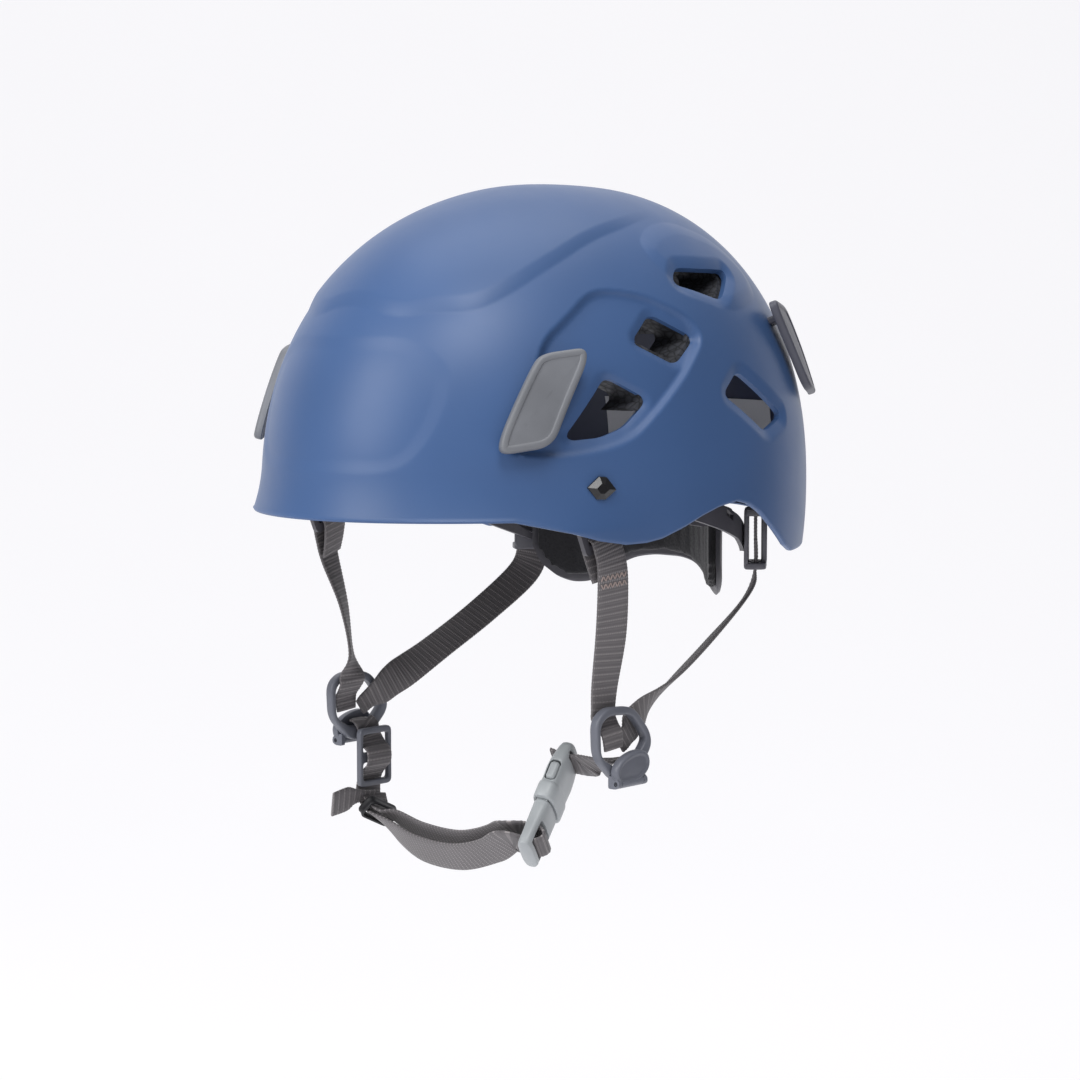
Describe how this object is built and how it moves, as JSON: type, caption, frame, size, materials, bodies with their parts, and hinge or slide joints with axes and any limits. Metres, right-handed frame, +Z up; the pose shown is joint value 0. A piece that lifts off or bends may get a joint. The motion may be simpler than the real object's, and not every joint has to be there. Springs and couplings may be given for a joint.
{
  "type": "climbing helmet",
  "caption": "Climbing helmet with a hard shell, foam liner, tilting headband with rear wheel adjuster, headlamp clips and a Y-shaped chin harness with a side-release buckle.",
  "frame": {"origin": "centre of the head opening, level with the front brim", "axes": "+Z up through the crown, the front of the helmet faces -Y, +X is the wearer's left"},
  "size_m": [0.208, 0.276, 0.3014],
  "materials": {
    "shell": "satin",
    "foam": "matte",
    "padding": "matte",
    "label": "matte",
    "rivet": "satin",
    "steel": "brushed",
    "inner_plastic": "matte",
    "clip": "matte",
    "webbing": "matte",
    "divider": "matte",
    "buckle": "satin",
    "keeper": "matte"
  },
  "bodies": {
    "helmet": {"buckle_female": "buckle", "chin_slider": "divider", "chin_strap_left": "webbing", "chin_strap_right": "webbing", "crown_pad": "padding", "divider_left": "divider", "divider_pins": "steel", "divider_right": "divider", "eps_liner": "foam", "front_strap_left": "webbing", "front_strap_right": "webbing", "inner_labels": "label", "keeper_ring": "keeper", "rear_anchor_left": "inner_plastic", "rear_anchor_right": "inner_plastic", "rear_anchor_screws": "steel", "rear_strap_left": "webbing", "rear_strap_right": "webbing", "rivet_nut_left": "steel", "rivet_nut_right": "steel", "shell": "shell", "side_rivet_left": "rivet", "side_rivet_right": "rivet", "strap_hanger_left": "inner_plastic", "strap_hanger_right": "inner_plastic"},
    "suspension": {"headband": "inner_plastic", "brow_pad": "padding", "strap_guide_left": "inner_plastic", "strap_guide_right": "inner_plastic"},
    "rear_cradle": {"cradle": "inner_plastic", "cradle_pad": "padding", "adjuster_cover": "inner_plastic", "ratchet_spring": "steel", "adjuster_screw": "steel"},
    "hand_wheel": {"adjuster_wheel": "inner_plastic", "adjuster_pinion": "inner_plastic"},
    "front_clip_left": {"front_clip_left": "clip"},
    "front_clip_right": {"front_clip_right": "clip"},
    "rear_clip_left": {"rear_clip_left": "clip"},
    "rear_clip_right": {"rear_clip_right": "clip"},
    "adjuster_arm_left": {"adjuster_arm_left": "inner_plastic"},
    "adjuster_arm_right": {"adjuster_arm_right": "inner_plastic"},
    "divider_lock_left": {"divider_lock_left": "divider"},
    "divider_lock_right": {"divider_lock_right": "divider"},
    "buckle_male": {"buckle_male": "buckle"}
  },
  "joints": [
    {"name": "front_clip_left_flex", "type": "hinge", "parent": "helmet", "child": "front_clip_left", "pos_m": [0.07853, -0.07553, 0.06227], "axis": [-0.4558, -0.8818, -0.1212], "range_deg": [0, 8], "stiffness_Nm_per_rad": 1.5},
    {"name": "front_clip_right_flex", "type": "hinge", "parent": "helmet", "child": "front_clip_right", "pos_m": [-0.07853, -0.07553, 0.06227], "axis": [-0.4558, 0.8818, 0.1212], "range_deg": [0, 8], "stiffness_Nm_per_rad": 1.5},
    {"name": "rear_clip_left_flex", "type": "hinge", "parent": "helmet", "child": "rear_clip_left", "pos_m": [0.07225, 0.08102, 0.08051], "axis": [0.5104, -0.8303, 0.2239], "range_deg": [0, 8], "stiffness_Nm_per_rad": 1.5},
    {"name": "rear_clip_right_flex", "type": "hinge", "parent": "helmet", "child": "rear_clip_right", "pos_m": [-0.07225, 0.08102, 0.08051], "axis": [0.5104, 0.8303, -0.2239], "range_deg": [0, 8], "stiffness_Nm_per_rad": 1.5},
    {"name": "suspension_tilt", "type": "hinge", "parent": "helmet", "child": "suspension", "pos_m": [0, -0.062, 0.013], "axis": [1, 0, 0], "range_deg": [-3, 14], "deforming": ["rear_strap_left", "rear_strap_right"]},
    {"name": "cradle_slide", "type": "slide", "parent": "suspension", "child": "rear_cradle", "axis": [0, 1, 0], "range_m": [-0.00645, 0.00359]},
    {"name": "arm_left_flex", "type": "hinge", "parent": "suspension", "child": "adjuster_arm_left", "pos_m": [0.0795, -0.008, 0], "axis": [0, 0, 1], "range_deg": [-2.59, 4.65]},
    {"name": "arm_right_flex", "type": "hinge", "parent": "suspension", "child": "adjuster_arm_right", "pos_m": [-0.0795, -0.008, 0], "axis": [0, 0, 1], "range_deg": [-4.65, 2.59]},
    {"name": "wheel_turn", "type": "hinge", "parent": "rear_cradle", "child": "hand_wheel", "pos_m": [0, 0.106, -0.016], "axis": [0, 1, 0], "range_deg": [-80.21, 44.69]},
    {"name": "lock_left_flip", "type": "hinge", "parent": "helmet", "child": "divider_lock_left", "pos_m": [0.0852, -0.037, -0.113], "axis": [0, 1, 0], "range_deg": [0, 70]},
    {"name": "lock_right_flip", "type": "hinge", "parent": "helmet", "child": "divider_lock_right", "pos_m": [-0.0852, -0.037, -0.113], "axis": [0, -1, 0], "range_deg": [0, 70]},
    {"name": "buckle_release", "type": "slide", "parent": "helmet", "child": "buckle_male", "axis": [0.128, -0.6601, -0.7402], "range_m": [0, 0.03], "deforming": ["chin_strap_right"]}
  ],
  "couplings": [
    {"joint": "wheel_turn", "follows": "cradle_slide", "rad_per_m": 216.98},
    {"joint": "arm_left_flex", "follows": "cradle_slide", "rad_per_m": -12.579},
    {"joint": "arm_right_flex", "follows": "cradle_slide", "rad_per_m": 12.579}
  ]
}
